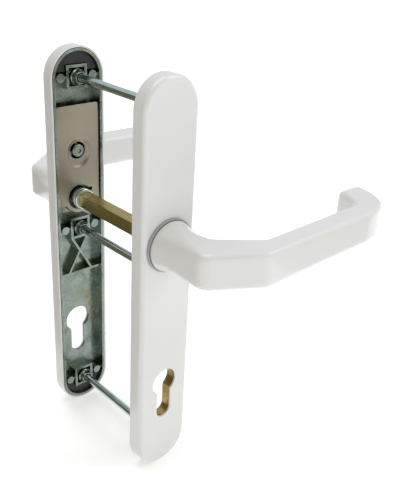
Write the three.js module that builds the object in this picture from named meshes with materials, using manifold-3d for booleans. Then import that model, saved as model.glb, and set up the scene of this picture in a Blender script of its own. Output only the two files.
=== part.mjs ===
// Lever door-handle set on two long backplates for a profile-cylinder lock.
// Millimetres. The origin is on the spindle axis in the middle of the door:
// +X is the way both levers point, +Y is the inside of the door, +Z is up.
// Every piece of one handle is drawn on the outside of the door, where its
// depth grows towards -Y, and the inside handle is its mirror image.

import * as THREE from 'three';
import { mergeVertices } from 'three/addons/utils/BufferGeometryUtils.js';
import Module from 'manifold-3d';

const wasm = await Module();
wasm.setup();

// ---------------------------------------------------------------- sizes

const GAP = 0.3;                    // room left between neighbouring pieces
const HALF_DOOR = 38;               // spindle middle to a plate's back

const PLATE_HALF_WIDTH = 18.25;
const PLATE_TOP = 93;
const PLATE_BOTTOM = -153.5;
const PLATE_DEPTH = 10;
const COVER_WALL = 1.2;
const COVER_ROUNDING = 3;
const INNER_CHAMFER = 1.2;

const BASE_WALL = 1.4;
const BASE_FLOOR = 1.5;
const BASE_INSET = COVER_WALL + GAP;
const BASE_FRONT = PLATE_DEPTH - BASE_INSET;
const FLOOR_BACK = BASE_FRONT - BASE_FLOOR;

const SCREW_HEIGHTS = { upper: 75, middle: -21, lower: -136 };
const SCREW_RADIUS = 2.5;
const SCREW_HOLE = SCREW_RADIUS + GAP;
const SCREW_HEAD_RADIUS = 4.7;
const SCREW_HEAD_CONE = 2.2;
const COLLAR_RADIUS = 4.9;
const COLLAR_TIP_RADIUS = 3.6;
const COLLAR_PROUD = 3.5;

const POCKET_HALF = 7;
const POCKET_WALL = 1.6;
const POCKET_BACK = 1;
const PAD_BACK = 2.5;
const STUD_X = 11;
const STUD_RADIUS = 2.7;
const RIB = 1.4;
const RIB_BACK = 2;

const KEYHOLE_HEIGHT = -92;
const KEYHOLE_RADIUS = 8.7;
const KEYHOLE_SLOT_HALF = 5.15;
const KEYHOLE_SLOT_DROP = 20.5;
const GUARD_WALL = 1.6;
const GUARD_BACK = 2.5;

const SPINDLE_HALF = 4;
const SPINDLE_HALF_LENGTH = 59.7;
const HUB_RADIUS = 6.6;
const HUB_PROUD = 5;
const HUB_FRONT = 22;
const HUB_SQUARE_HALF = SPINDLE_HALF + 0.2;
const GROOVE_DEPTH = 0.5;

const BEARING_BORE = HUB_RADIUS + GAP;
const BEARING_SLEEVE = 8.5;
const BEARING_FLANGE = 15.8;
const BEARING_FRONT = PLATE_DEPTH + GAP + 1.2;
const BEARING_HOLE = BEARING_SLEEVE + GAP;

const CLIP_RADIUS = 9.1;
const CLIP_THICKNESS = 0.8;
const CLIP_FRONT = FLOOR_BACK - GAP;
const CLIP_BACK = CLIP_FRONT - CLIP_THICKNESS;

const CASSETTE_HALF_WIDTH = 14.7;
const CASSETTE_TOP = 58.5;
const CASSETTE_BOTTOM = -4.6;
const CASSETTE_LOBE = 10.4;
const CASSETTE_BACK = 1;
const CASSETTE_SHEET = 0.8;
const CASSETTE_HUB_HOLE = 8;
const CASSETTE_POST_HOLE = 5.5;

const POST_HEIGHT = 30;
const SPRING_RADIUS = 10.2;
const SPRING_WIRE = 0.7;
const SPRING_BACK = 2.9;
const SPRING_FRONT = 5.9;
const SPRING_TURNS = 1.5;
const SPRING_LEG_X = 4.7;

const LEVER_HALF_HEIGHT = 10.5;
const LEVER_ROUNDING = 2.6;
const LEVER_BACK = BEARING_FRONT + GAP;
const NECK_RADIUS = 14.3;
const GRUB_DEPTH = 17;
const GRUB_RADIUS = 2.5;

// The inside grip is thicker, stands further off its plate and ends sooner.
const LEVER_SHAPES = {
  outside: { reach: 0, thicker: 0, shorter: 0, elbow: 0 },
  inside: { reach: 12, thicker: 4.5, shorter: 14, elbow: 2.5 },
};

// ------------------------------------------------------------ materials

const FINISHES = {
  white_coating: { color: 0xf1f1ec, roughness: 0.3, metalness: 0 },
  zinc_casting: { color: 0x9aa69c, roughness: 0.35, metalness: 1 },
  steel_sheet: { color: 0xb0a996, roughness: 0.4, metalness: 1 },
  spring_steel: { color: 0x77777a, roughness: 0.4, metalness: 1 },
  black_plastic: { color: 0x241f22, roughness: 0.55, metalness: 0 },
  grey_nylon: { color: 0x9a9b9c, roughness: 0.5, metalness: 0 },
  yellow_passivate: { color: 0xb3954a, roughness: 0.4, metalness: 1 },
  bright_zinc: { color: 0xc3cdd0, roughness: 0.25, metalness: 1 },
  olive_passivate: { color: 0xa8955f, roughness: 0.38, metalness: 1 },
};

// -------------------------------------------------------- shape helpers

function turnedOut(indices, positions) {
  let volume = 0;
  const a = new THREE.Vector3();
  const b = new THREE.Vector3();
  const c = new THREE.Vector3();
  for (let i = 0; i < indices.length; i += 3) {
    a.fromArray(positions, 3 * indices[i]);
    b.fromArray(positions, 3 * indices[i + 1]);
    c.fromArray(positions, 3 * indices[i + 2]);
    volume += a.dot(b.cross(c));
  }
  if (volume > 0) return indices;
  return indices.map((_, i) => indices[i + [0, 1, -1][i % 3]]);
}

// A three.js geometry as a solid that can be joined and cut.
function solid(geometry) {
  const bare = geometry.clone();
  bare.deleteAttribute('normal');
  bare.deleteAttribute('uv');
  const merged = mergeVertices(bare, 1e-4);
  const index = Array.from(merged.index.array);
  const kept = [];
  for (let i = 0; i < index.length; i += 3) {
    const [a, b, c] = index.slice(i, i + 3);
    if (a !== b && b !== c && a !== c) kept.push(a, b, c);
  }
  const positions = merged.attributes.position.array;
  return new wasm.Manifold(new wasm.Mesh({
    numProp: 3,
    vertProperties: Float32Array.from(positions),
    triVerts: Uint32Array.from(turnedOut(kept, positions)),
  }));
}

function geometryOf(body) {
  const { vertProperties, triVerts } = body.getMesh();
  const geometry = new THREE.BufferGeometry();
  geometry.setAttribute('position', new THREE.BufferAttribute(vertProperties, 3));
  geometry.setIndex(new THREE.BufferAttribute(triVerts, 1));
  return geometry;
}

// An upright outline (x, z) as a slab from one depth to another.
function slab(shape, back, front, rounding = 0, steps = 1) {
  const geometry = new THREE.ExtrudeGeometry(shape, {
    depth: front - back - 2 * rounding,
    bevelEnabled: rounding > 0,
    bevelThickness: rounding,
    bevelSize: rounding,
    bevelOffset: -rounding,
    bevelSegments: steps,
    curveSegments: 10,
  });
  geometry.translate(0, 0, back + rounding);
  geometry.rotateX(Math.PI / 2);
  return solid(geometry);
}

// A box from its limits in x, depth and z.
function block([x0, x1], [back, front], [z0, z1]) {
  const geometry = new THREE.BoxGeometry(x1 - x0, front - back, z1 - z0);
  geometry.translate((x0 + x1) / 2, -(back + front) / 2, (z0 + z1) / 2);
  return solid(geometry);
}

// A round piece about the depth axis, from its (radius, depth) corners.
function turned(corners, sides = 24) {
  const points = corners.map(([radius, depth]) => new THREE.Vector2(radius, -depth));
  return solid(new THREE.LatheGeometry(points, sides));
}

function disc(radius, back, front, sides = 24) {
  return turned([[0, back], [radius, back], [radius, front], [0, front]], sides);
}

function moved(body, x, depth, z) {
  const geometry = geometryOf(body);
  geometry.translate(x, -depth, z);
  return solid(geometry);
}

// An upright bar between two (x, z) points.
function rib([x0, z0], [x1, z1], back, front, thickness = RIB) {
  const length = Math.hypot(x1 - x0, z1 - z0);
  const geometry = new THREE.BoxGeometry(length, front - back, thickness);
  geometry.rotateY(-Math.atan2(z1 - z0, x1 - x0));
  geometry.translate((x0 + x1) / 2, -(back + front) / 2, (z0 + z1) / 2);
  return solid(geometry);
}

function joined(bodies) {
  return bodies.reduce((whole, body) => whole.add(body));
}

function cut(whole, tools) {
  return tools.reduce((rest, tool) => rest.subtract(tool), whole);
}

// ------------------------------------------------------------- outlines

function plateOutline(inset) {
  const radius = PLATE_HALF_WIDTH - inset;
  const upper = PLATE_TOP - PLATE_HALF_WIDTH;
  const lower = PLATE_BOTTOM + PLATE_HALF_WIDTH;
  const shape = new THREE.Shape();
  shape.absarc(0, upper, radius, 0, Math.PI, false);
  shape.absarc(0, lower, radius, Math.PI, 2 * Math.PI, false);
  shape.closePath();
  return shape;
}

function keyholeOutline(margin) {
  const radius = KEYHOLE_RADIUS + margin;
  const half = KEYHOLE_SLOT_HALF + margin;
  const corner = Math.asin(half / radius);
  const shape = new THREE.Shape();
  shape.absarc(0, KEYHOLE_HEIGHT, radius, corner - Math.PI / 2, 1.5 * Math.PI - corner, false);
  shape.absarc(0, KEYHOLE_HEIGHT - KEYHOLE_SLOT_DROP, half, Math.PI, 2 * Math.PI, false);
  shape.closePath();
  return shape;
}

function cassetteOutline() {
  const corner = 1.5;
  const half = CASSETTE_HALF_WIDTH;
  const lobe = Math.asin(-CASSETTE_BOTTOM / CASSETTE_LOBE);
  const shape = new THREE.Shape();
  shape.moveTo(half, CASSETTE_BOTTOM);
  shape.lineTo(half, CASSETTE_TOP - corner);
  shape.lineTo(half - corner, CASSETTE_TOP);
  shape.lineTo(corner - half, CASSETTE_TOP);
  shape.lineTo(-half, CASSETTE_TOP - corner);
  shape.lineTo(-half, CASSETTE_BOTTOM);
  shape.absarc(0, 0, CASSETTE_LOBE, Math.PI + lobe, 2 * Math.PI - lobe, false);
  shape.closePath();
  const postHole = new THREE.Path();
  postHole.absarc(0, POST_HEIGHT, CASSETTE_POST_HOLE, 0, 2 * Math.PI, true);
  const hubHole = new THREE.Path();
  hubHole.absarc(0, 0, CASSETTE_HUB_HOLE, 0, 2 * Math.PI, true);
  shape.holes.push(postHole, hubHole);
  return shape;
}

// The lever seen from above, as (x, -depth): neck, slanting arm, straight
// grip and the end that turns back towards the door.
function leverOutline({ reach, thicker, shorter, elbow }) {
  const shape = new THREE.Shape();
  const knee = 1.35 * reach;
  const outer = reach + thicker;
  const lineTo = (x, depth) => shape.lineTo(x, -depth);
  const bendTo = (cornerX, corner, x, depth) => {
    shape.quadraticCurveTo(cornerX, -corner, x, -depth);
  };
  shape.moveTo(-9.9, -19);
  lineTo(-9.5, 42.6 - elbow);
  bendTo(-9.2, 47.2 - elbow, -5.6, 49.4 - elbow);
  lineTo(16.2 + knee, 62.6 + outer);
  bendTo(20.4 + knee, 65.3 + outer, 26.4 + knee, 65.1 + outer);
  lineTo(104 - shorter, 63.2 + outer);
  bendTo(122 - shorter, 63 + outer, 131 - shorter, 56.8 + outer);
  bendTo(138 - shorter, 52 + outer, 141 - shorter, 41.6 + reach + 0.6 * thicker);
  lineTo(143.4 - shorter, 34.6 + reach);
  bendTo(145.9 - shorter, 27.6 + reach, 138.6 - shorter, 27.8 + reach);
  lineTo(132 - shorter, 28 + reach);
  bendTo(124.9 - shorter, 28.4 + reach, 122.6 - shorter, 35.6 + reach);
  lineTo(119.6 - shorter, 43.2 + reach);
  bendTo(117.4 - shorter, 48.4 + reach, 112 - shorter, 48.8 + reach);
  lineTo(37 + knee, 51 + reach);
  bendTo(33.6 + knee, 51.2 + reach, 31 + knee, 49.2 + reach);
  lineTo(13.6, 35.8);
  bendTo(10.4, 33.2, 10.2, 29);
  lineTo(10.2, 19);
  shape.closePath();
  return shape;
}

// --------------------------------------------------------- handle pieces

function keyhole(margin) {
  return slab(keyholeOutline(margin), -1, PLATE_DEPTH + 1);
}

function screwSeat(height, margin) {
  const front = PLATE_DEPTH + 1;
  const coneFront = PLATE_DEPTH - 0.1;
  const seat = turned([
    [0, -1],
    [SCREW_HOLE, -1],
    [SCREW_HOLE, coneFront - SCREW_HEAD_CONE - margin],
    [SCREW_HEAD_RADIUS + margin, coneFront - margin],
    [SCREW_HEAD_RADIUS + margin, front],
    [0, front],
  ], 16);
  return moved(seat, 0, 0, height);
}

// A slab from the door's face outwards, with only its front edge rounded.
function dish(shape, front, rounding, steps) {
  const behind = block([-30, 30], [-9, 0], [PLATE_BOTTOM - 9, PLATE_TOP + 9]);
  return slab(shape, -2 * rounding, front, rounding, steps).subtract(behind);
}

function cover(side) {
  const outside = dish(plateOutline(0), PLATE_DEPTH, COVER_ROUNDING, 3);
  const hollow = slab(plateOutline(COVER_WALL), -9, PLATE_DEPTH - COVER_WALL, INNER_CHAMFER);
  const tools = [hollow, disc(BEARING_HOLE, -1, PLATE_DEPTH + 1), keyhole(0)];
  if (side === 'inside') {
    tools.push(...Object.values(SCREW_HEIGHTS).map((height) => screwSeat(height, GAP)));
  }
  return cut(outside, tools);
}

function pocketWalls(height) {
  return block(
    [-POCKET_HALF, POCKET_HALF], [POCKET_BACK, FLOOR_BACK + 0.2],
    [height - POCKET_HALF, height + POCKET_HALF]);
}

function pocketHollow(height) {
  const half = POCKET_HALF - POCKET_WALL;
  return block([-half, half], [-1, FLOOR_BACK], [height - half, height + half]);
}

function studs(height) {
  return [-STUD_X, STUD_X].flatMap((x) => [
    moved(disc(STUD_RADIUS, POCKET_BACK, FLOOR_BACK + 0.2, 12), x, 0, height),
    rib([Math.sign(x) * (POCKET_HALF - 1), height],
      [Math.sign(x) * (PLATE_HALF_WIDTH - BASE_INSET - 0.7), height], RIB_BACK, FLOOR_BACK + 0.2),
  ]);
}

function crossRibs() {
  const top = SCREW_HEIGHTS.middle - POCKET_HALF;
  const bottom = top - 25;
  const wall = PLATE_HALF_WIDTH - BASE_INSET - 0.7;
  return [
    rib([-POCKET_HALF + 0.8, top + 0.8], [8.6, bottom], RIB_BACK, FLOOR_BACK + 0.2),
    rib([POCKET_HALF - 0.8, top + 0.8], [-8.6, bottom], RIB_BACK, FLOOR_BACK + 0.2),
    rib([-wall, bottom], [wall, bottom], RIB_BACK, FLOOR_BACK + 0.2),
  ];
}

function base(side) {
  const heights = Object.values(SCREW_HEIGHTS);
  const hollow = slab(plateOutline(BASE_INSET + BASE_WALL), -1, FLOOR_BACK);
  const shell = dish(plateOutline(BASE_INSET), BASE_FRONT, INNER_CHAMFER, 1).subtract(hollow);
  const inner = joined([...heights.flatMap((height) => [pocketWalls(height), ...studs(height)]),
    ...crossRibs()]);
  const guardRoom = side === 'outside' ? GUARD_WALL + GAP : GAP;
  const tools = [
    ...heights.map(pocketHollow),
    disc(BEARING_HOLE, -1, PLATE_DEPTH + 1),
    keyhole(guardRoom),
  ];
  if (side === 'inside') tools.push(...heights.map((height) => screwSeat(height, GAP)));
  return cut(shell.add(inner), tools);
}

function endPad(upwards) {
  const centre = upwards ? PLATE_TOP - PLATE_HALF_WIDTH : PLATE_BOTTOM + PLATE_HALF_WIDTH;
  const screw = upwards ? SCREW_HEIGHTS.upper : SCREW_HEIGHTS.lower;
  const radius = PLATE_HALF_WIDTH - BASE_INSET - BASE_WALL - GAP;
  const clearOfStuds = STUD_RADIUS + 2 * GAP;
  const flat = upwards ? screw + clearOfStuds - centre : centre - screw + clearOfStuds;
  const start = Math.asin(flat / radius);
  const turn = upwards ? 0 : Math.PI;
  const shape = new THREE.Shape();
  shape.absarc(0, centre, radius, turn + start, turn + Math.PI - start, false);
  shape.closePath();
  const pocket = POCKET_HALF + GAP;
  const notch = block([-pocket, pocket], [0, PLATE_DEPTH], [screw - pocket, screw + pocket]);
  return cut(slab(shape, PAD_BACK, FLOOR_BACK - GAP), [notch]);
}

function cassetteCover() {
  return slab(cassetteOutline(), CASSETTE_BACK, CASSETTE_BACK + CASSETTE_SHEET);
}

class SpringPath extends THREE.Curve {
  getPoint(t, target = new THREE.Vector3()) {
    const legShare = 0.2;
    if (t < legShare) return this.leg(-1, t / legShare, SPRING_BACK, target);
    if (t > 1 - legShare) return this.leg(1, (1 - t) / legShare, SPRING_FRONT, target);
    const along = (t - legShare) / (1 - 2 * legShare);
    const angle = Math.PI + along * SPRING_TURNS * 2 * Math.PI;
    const depth = SPRING_BACK + along * (SPRING_FRONT - SPRING_BACK);
    return target.set(SPRING_RADIUS * Math.cos(angle), -depth, SPRING_RADIUS * Math.sin(angle));
  }

  leg(side, share, depth, target) {
    const x = SPRING_LEG_X + share * (SPRING_RADIUS - SPRING_LEG_X);
    return target.set(side * x, -depth, POST_HEIGHT * (1 - share));
  }
}

function returnSpring() {
  const wire = new THREE.Shape();
  wire.absarc(0, 0, SPRING_WIRE, 0, 2 * Math.PI, false);
  const geometry = new THREE.ExtrudeGeometry(wire, {
    steps: 44, curveSegments: 4, bevelEnabled: false, extrudePath: new SpringPath(),
  });
  return solid(geometry);
}

function springPost() {
  const post = turned([[0, 0.8], [3.4, 0.8], [4, 1.2], [4, 1.9], [3, 1.9],
    [3, FLOOR_BACK - GAP], [0, FLOOR_BACK - GAP]], 16);
  return moved(post, 0, 0, POST_HEIGHT);
}

function circlip() {
  const opening = 0.35;
  const inner = HUB_RADIUS - 0.2;
  const shape = new THREE.Shape();
  shape.absarc(0, 0, CLIP_RADIUS, opening - Math.PI / 2, 1.5 * Math.PI - opening, false);
  shape.absarc(0, 0, inner, 1.5 * Math.PI - opening, opening - Math.PI / 2, true);
  shape.closePath();
  return slab(shape, CLIP_BACK, CLIP_FRONT);
}

function bearingRing() {
  return turned([
    [BEARING_BORE, FLOOR_BACK],
    [BEARING_SLEEVE, FLOOR_BACK],
    [BEARING_SLEEVE, PLATE_DEPTH + GAP],
    [BEARING_FLANGE, PLATE_DEPTH + GAP],
    [BEARING_FLANGE, BEARING_FRONT - 0.4],
    [BEARING_FLANGE - 0.4, BEARING_FRONT],
    [BEARING_BORE, BEARING_FRONT],
    [BEARING_BORE, FLOOR_BACK],
  ], 32);
}

function grubHole() {
  const geometry = new THREE.CylinderGeometry(GRUB_RADIUS + GAP, GRUB_RADIUS + GAP, 20, 12);
  geometry.rotateX(Math.PI / 2);
  geometry.translate(0, -GRUB_DEPTH, -10);
  return solid(geometry);
}

function hub() {
  const groove = HUB_RADIUS - GROOVE_DEPTH;
  const barrel = turned([
    [0, -HUB_PROUD],
    [HUB_RADIUS - 0.4, -HUB_PROUD],
    [HUB_RADIUS, -HUB_PROUD + 0.4],
    [HUB_RADIUS, CLIP_BACK - GAP],
    [groove, CLIP_BACK - GAP],
    [groove, CLIP_FRONT + GAP],
    [HUB_RADIUS, CLIP_FRONT + GAP],
    [HUB_RADIUS, HUB_FRONT],
    [0, HUB_FRONT],
  ]);
  const half = HUB_SQUARE_HALF;
  const square = block([-half, half], [-HUB_PROUD - 1, HUB_FRONT + 1], [-half, half]);
  return cut(barrel, [square, grubHole()]);
}

function lever(side) {
  const geometry = new THREE.ExtrudeGeometry(leverOutline(LEVER_SHAPES[side]), {
    depth: 2 * (LEVER_HALF_HEIGHT - LEVER_ROUNDING),
    bevelThickness: LEVER_ROUNDING,
    bevelSize: LEVER_ROUNDING,
    bevelOffset: -LEVER_ROUNDING,
    bevelSegments: 2,
    curveSegments: 5,
  });
  geometry.translate(0, 0, LEVER_ROUNDING - LEVER_HALF_HEIGHT);
  const neck = turned([
    [0, LEVER_BACK],
    [NECK_RADIUS - 0.4, LEVER_BACK],
    [NECK_RADIUS, LEVER_BACK + 0.5],
    [NECK_RADIUS, LEVER_BACK + 2],
    [12.9, 20],
    [11.5, 27],
    [10.2, 34],
    [8.6, 41],
    [0, 41],
  ], 32);
  const bore = disc(BEARING_BORE, 0, HUB_FRONT + GAP);
  return cut(solid(geometry).add(neck), [bore, grubHole()]);
}

function grubScrew() {
  const geometry = new THREE.CylinderGeometry(GRUB_RADIUS, GRUB_RADIUS, 8, 12);
  const socket = new THREE.CylinderGeometry(1.4, 1.4, 4, 6);
  socket.translate(0, -4, 0);
  const screw = geometryOf(cut(solid(geometry), [solid(socket)]));
  screw.rotateX(Math.PI / 2);
  screw.translate(0, -GRUB_DEPTH, -(SPINDLE_HALF + GAP + 4));
  return solid(screw);
}

function screwCollar(height) {
  const front = FLOOR_BACK - GAP;
  const collar = turned([
    [SCREW_HOLE, -COLLAR_PROUD],
    [COLLAR_TIP_RADIUS, -COLLAR_PROUD],
    [COLLAR_TIP_RADIUS + 0.6, -1.2],
    [COLLAR_RADIUS, -0.4],
    [COLLAR_RADIUS, front],
    [SCREW_HOLE, front],
    [SCREW_HOLE, -COLLAR_PROUD],
  ], 16);
  return moved(collar, 0, 0, height);
}

function cylinderGuard() {
  const front = PLATE_DEPTH - COVER_WALL - GAP;
  const body = slab(keyholeOutline(GUARD_WALL), GUARD_BACK, front);
  return cut(body, [keyhole(0)]);
}

// --------------------------------------------------------- shared pieces

function spindle() {
  const half = SPINDLE_HALF;
  const length = SPINDLE_HALF_LENGTH;
  return block([-half, half], [-length, length], [-half, half]);
}

// A countersunk screw along the door's thickness: head on the inside.
function fixingScrew(height) {
  const headFront = HALF_DOOR + PLATE_DEPTH - 0.1;
  const tip = -(HALF_DOOR + 5);
  const body = turned([
    [0, tip],
    [SCREW_RADIUS - 0.7, tip],
    [SCREW_RADIUS, tip + 0.8],
    [SCREW_RADIUS, headFront - SCREW_HEAD_CONE],
    [SCREW_HEAD_RADIUS, headFront],
    [3, headFront + 0.7],
    [0, headFront + 0.9],
  ], 16);
  const recess = [-1, 1].map((turn) => {
    const bar = new THREE.BoxGeometry(5, 3, 0.9);
    bar.rotateY(turn * Math.PI / 4);
    bar.translate(0, -(headFront + 0.3), 0);
    return solid(bar);
  });
  const screw = geometryOf(cut(body, recess));
  screw.scale(1, -1, 1);
  screw.translate(0, 0, height);
  return solid(screw);
}

// --------------------------------------------------------------- assembly

function piece(name, body, finish) {
  const mesh = new THREE.Mesh(geometryOf(body), new THREE.MeshStandardMaterial(FINISHES[finish]));
  mesh.name = name;
  return mesh;
}

// Mirrored in the door's middle plane, with its faces still pointing out.
function mirrored(body) {
  const geometry = geometryOf(body);
  geometry.scale(1, -1, 1);
  return solid(geometry);
}

function handle(side) {
  const group = new THREE.Group();
  const place = side === 'outside' ? (body) => body : mirrored;
  const put = (name, body, finish) => group.add(piece(`${side}_${name}`, place(body), finish));
  put('cover', cover(side), 'white_coating');
  put('base_casting', base(side), 'zinc_casting');
  put('upper_end_pad', endPad(true), 'black_plastic');
  put('lower_end_pad', endPad(false), 'black_plastic');
  put('cassette_cover', cassetteCover(), 'steel_sheet');
  put('return_spring', returnSpring(), 'spring_steel');
  put('spring_post', springPost(), 'bright_zinc');
  put('bearing_ring', bearingRing(), 'grey_nylon');
  for (const [level, height] of Object.entries(SCREW_HEIGHTS)) {
    put(`${level}_screw_collar`, screwCollar(height), 'bright_zinc');
  }
  put('hub', hub(), 'olive_passivate');
  put('circlip', circlip(), 'spring_steel');
  put('lever', lever(side), 'white_coating');
  put('grub_screw', grubScrew(), 'spring_steel');
  if (side === 'outside') put('cylinder_guard', cylinderGuard(), 'yellow_passivate');
  group.position.y = side === 'outside' ? -HALF_DOOR : HALF_DOOR;
  return group;
}

const handleSet = new THREE.Group();
handleSet.add(handle('outside'), handle('inside'));
handleSet.add(piece('spindle', spindle(), 'olive_passivate'));
for (const [level, height] of Object.entries(SCREW_HEIGHTS)) {
  handleSet.add(piece(`${level}_fixing_screw`, fixingScrew(height), 'bright_zinc'));
}

export default handleSet;
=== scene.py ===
# Lever door-handle set: detailed pieces, looks, floor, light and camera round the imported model.
from math import asin, atan2, cos, hypot, pi, radians, sin, tau

import bmesh
import bpy
from mathutils import Matrix, Vector


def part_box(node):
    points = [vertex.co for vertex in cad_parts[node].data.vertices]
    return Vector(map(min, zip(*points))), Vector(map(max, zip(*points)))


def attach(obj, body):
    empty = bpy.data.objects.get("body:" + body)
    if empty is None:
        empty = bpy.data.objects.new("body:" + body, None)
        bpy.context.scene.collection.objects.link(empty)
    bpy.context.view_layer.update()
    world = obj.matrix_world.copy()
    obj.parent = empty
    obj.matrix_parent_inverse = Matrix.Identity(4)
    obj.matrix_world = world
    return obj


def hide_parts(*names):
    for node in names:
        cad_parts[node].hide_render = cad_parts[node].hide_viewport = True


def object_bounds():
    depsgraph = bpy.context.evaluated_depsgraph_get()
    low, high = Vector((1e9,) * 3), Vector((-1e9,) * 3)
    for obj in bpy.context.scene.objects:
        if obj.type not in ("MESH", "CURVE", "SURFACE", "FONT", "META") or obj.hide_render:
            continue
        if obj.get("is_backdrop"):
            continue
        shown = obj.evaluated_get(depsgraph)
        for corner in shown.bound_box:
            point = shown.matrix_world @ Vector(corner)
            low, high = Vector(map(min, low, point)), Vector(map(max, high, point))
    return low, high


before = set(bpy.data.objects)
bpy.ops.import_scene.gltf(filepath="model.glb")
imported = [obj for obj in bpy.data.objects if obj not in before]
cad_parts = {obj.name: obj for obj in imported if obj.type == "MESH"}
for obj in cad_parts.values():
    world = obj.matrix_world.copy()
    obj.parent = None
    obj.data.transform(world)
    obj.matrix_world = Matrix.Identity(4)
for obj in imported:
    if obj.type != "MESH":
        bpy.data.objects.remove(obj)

MM = 0.001    # metres
SIDES = {"outside": -1, "inside": 1}

cad_low, cad_high = (list(corner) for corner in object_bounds())

# ------------------------------------------------------------ driving sizes
# Millimetres. A handle is drawn as (x, depth, z), depth growing out of the
# door from the plate's back.


def node_box(node):
    low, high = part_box(node)
    return [c / MM for c in low], [c / MM for c in high]


cover_low, cover_high = node_box("outside_cover")
HALF_DOOR = -cover_high[1]
PLATE_DEPTH = cover_high[1] - cover_low[1]
PLATE_HALF_WIDTH = cover_high[0]
PLATE_TOP = cover_high[2]
PLATE_BOTTOM = cover_low[2]
LEVEL_HEIGHTS = {
    level: sum(corner[2] for corner in node_box(f"{level}_fixing_screw")) / 2
    for level in ("upper", "middle", "lower")
}

GAP = 0.3

COVER_WALL = 1.2
COVER_ROUNDING = 3.0
INNER_CHAMFER = 1.2
RIM_CHAMFER = 0.2
EDGE = 0.3

KEYHOLE_HEIGHT = -92.0
KEYHOLE_RADIUS = 8.7
KEYHOLE_SLOT_HALF = 5.15
KEYHOLE_SLOT_DROP = 20.5

BEARING_HOLE = 8.8
BEARING_BORE = 6.9
BEARING_SLEEVE = 8.5
BEARING_FLANGE = 15.8
BEARING_BACK = 7.0
BEARING_FRONT = 11.5

HUB_RADIUS = 6.6
HUB_PROUD = 5.0
HUB_FRONT = 22.0
HUB_SQUARE = 8.4
CLIP_GROOVE_BACK = 5.6
CLIP_GROOVE_FRONT = 7.0
CLIP_GROOVE_RADIUS = 6.1

NECK_RADIUS = 14.8
NECK_BACK = 11.8
BORE_FRONT = 22.3
LEVER_HALF_HEIGHT = 10.5
LEVER_CORNER = 3.1
ELBOW_CORNER = 5.4
ELBOW_SWELL = 0.3
KNEE_SHIFT = 1.35    # how far the knee moves along the grip for each millimetre of reach
TIP_ROUNDING = 6.0
GRUB_DEPTH = 17.0
GRUB_HOLE = 2.8
# (reach, thicker, shorter, elbow): the inside grip is thicker, stands further off its plate
# and ends sooner.
LEVER_SHAPES = {"outside": (0.0, 0.0, 0.0, 0.0), "inside": (12.0, 4.5, 14.0, 2.5)}

SCREW_RADIUS = 2.5
SCREW_HOLE = 2.8
SCREW_HEAD_RADIUS = 4.7
SCREW_HEAD_CONE = 2.2
SCREW_SHANK_RADIUS = 2.42
SCREW_INTO_PLATE = 5.0
THREAD_OUT_OF_PLATE = 7.0
THREAD_PITCH = 0.8
THREAD_HEIGHT = 0.34
ROWS_PER_TURN = 8

COLLAR_RADIUS = 4.9
COLLAR_NECK = 4.7
COLLAR_PROUD = 3.5
COLLAR_FRONT = 6.7

CASSETTE_HALF_WIDTH = 14.7
CASSETTE_TOP = 58.5
CASSETTE_BOTTOM = -4.6
CASSETTE_LOBE = 10.4
CASSETTE_BACK = 1.0
CASSETTE_SHEET = 0.8
CASSETTE_HUB_HOLE = 8.0
CASSETTE_POST_HOLE = 5.4
CASSETTE_DISH = 1.3
POST_HEIGHT = 30.0

ARC_STEPS = 48
WELD = 1e-4
LARGE_FACE_WEIGHT = 80

# ------------------------------------------------------------- mesh helpers


def loop(bm, points):
    return [bm.verts.new(point) for point in points]


def bridge(bm, first, second):
    count = len(first)
    for i in range(count):
        j = (i + 1) % count
        bm.faces.new((first[i], first[j], second[j], second[i]))


def skin(bm, rings):
    """Joins rings of points into a tube and gives back their loops of vertices."""
    loops = [loop(bm, ring) for ring in rings]
    for first, second in zip(loops, loops[1:]):
        bridge(bm, first, second)
    return loops


def fill(bm, loops):
    """Fills the flat face between the first loop and the holes in it."""
    edges = []
    for verts in loops:
        for i, vert in enumerate(verts):
            pair = (vert, verts[(i + 1) % len(verts)])
            edges.append(bm.edges.get(pair) or bm.edges.new(pair))
    bmesh.ops.triangle_fill(bm, use_beauty=True, use_dissolve=False, edges=edges,
                             normal=(0, 1, 0))


def smooth(piece, angle=38, weighted=True):
    mesh = piece.data
    mesh.polygons.foreach_set("use_smooth", [True] * len(mesh.polygons))
    mesh.set_sharp_from_angle(angle=radians(angle))
    if weighted:
        modifier = piece.modifiers.new("weighted_normal", "WEIGHTED_NORMAL")
        modifier.keep_sharp = True
        modifier.weight = LARGE_FACE_WEIGHT


def object_from(bm, name, place=None):
    """A linked object made of a mesh in millimetres, moved to its place."""
    if place is not None:
        bm.transform(place)
    bm.transform(Matrix.Scale(MM, 4))
    bmesh.ops.recalc_face_normals(bm, faces=bm.faces)
    mesh = bpy.data.meshes.new(name)
    bm.to_mesh(mesh)
    bm.free()
    made = bpy.data.objects.new(name, mesh)
    bpy.context.scene.collection.objects.link(made)
    return made


def finish_piece(name, bm, slot, body, nodes, place=None):
    """A piece that takes the place of CAD nodes; its slot is also its finish."""
    bmesh.ops.remove_doubles(bm, verts=bm.verts, dist=WELD)
    piece = object_from(bm, name, place)
    piece.data.materials.append(FINISHES[slot])
    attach(piece, body)
    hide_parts(*nodes)
    return piece


def handle_place(side):
    """From (x, depth, z) on a handle to the part's frame, in millimetres."""
    sign = SIDES[side]
    return Matrix.Translation((0, sign * HALF_DOOR, 0)) @ Matrix.Diagonal((1, sign, 1, 1))


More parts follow.
